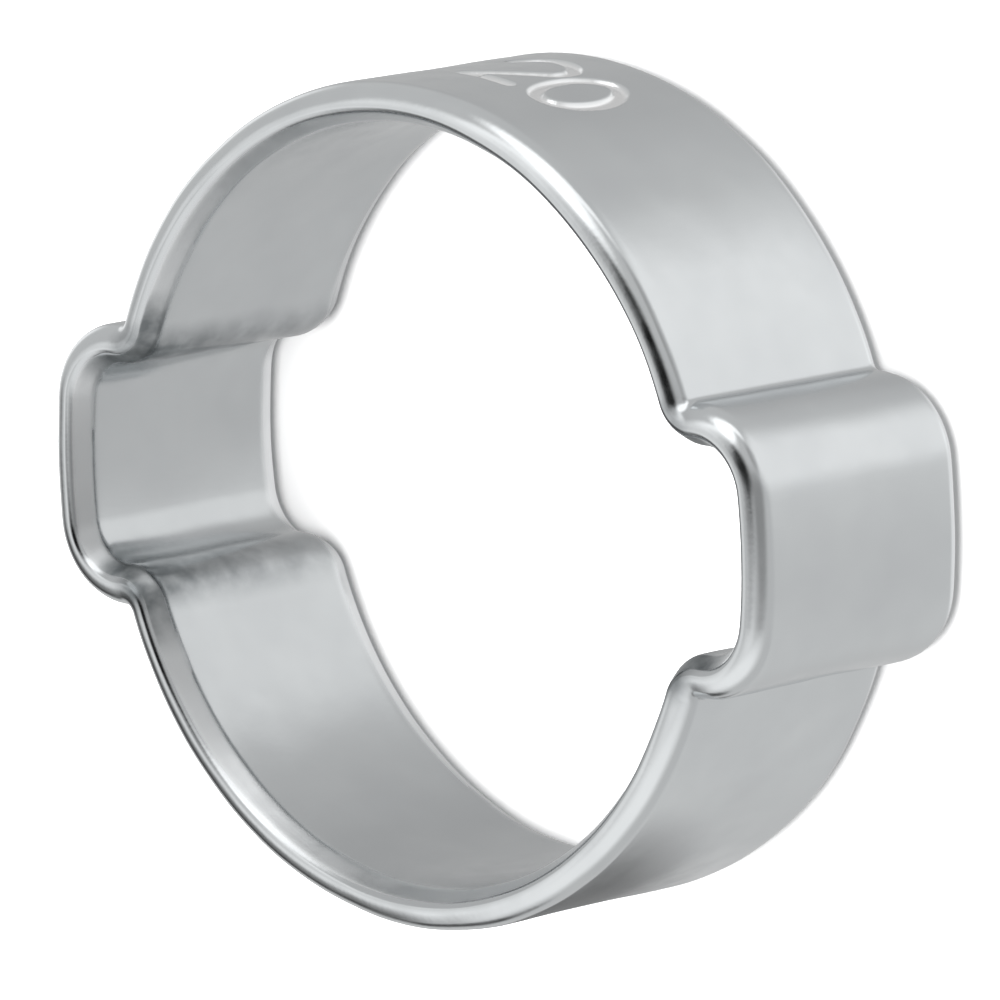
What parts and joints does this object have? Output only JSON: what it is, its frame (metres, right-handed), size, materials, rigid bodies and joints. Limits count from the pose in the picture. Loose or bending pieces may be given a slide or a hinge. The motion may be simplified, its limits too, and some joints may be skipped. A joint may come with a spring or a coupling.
{
  "type": "ear hose clamp",
  "caption": "Closed steel band with two hollow side ears; the ears are pinched with pincers to clamp a hose on a fitting.",
  "frame": {"origin": "on the bore's axis, in the plane of the lower rim that the clamp lies on", "axes": "+Z along the bore's axis, up from the lower rim; +X from the bore's axis to one ear, -X to the other"},
  "size_m": [0.0262, 0.0222, 0.0075],
  "materials": {
    "zinc_plated_steel": "bright zinc plating on pressed mild steel, satin"
  },
  "bodies": {
    "root": {"clamp_band": "zinc_plated_steel"}
  },
  "joints": []
}
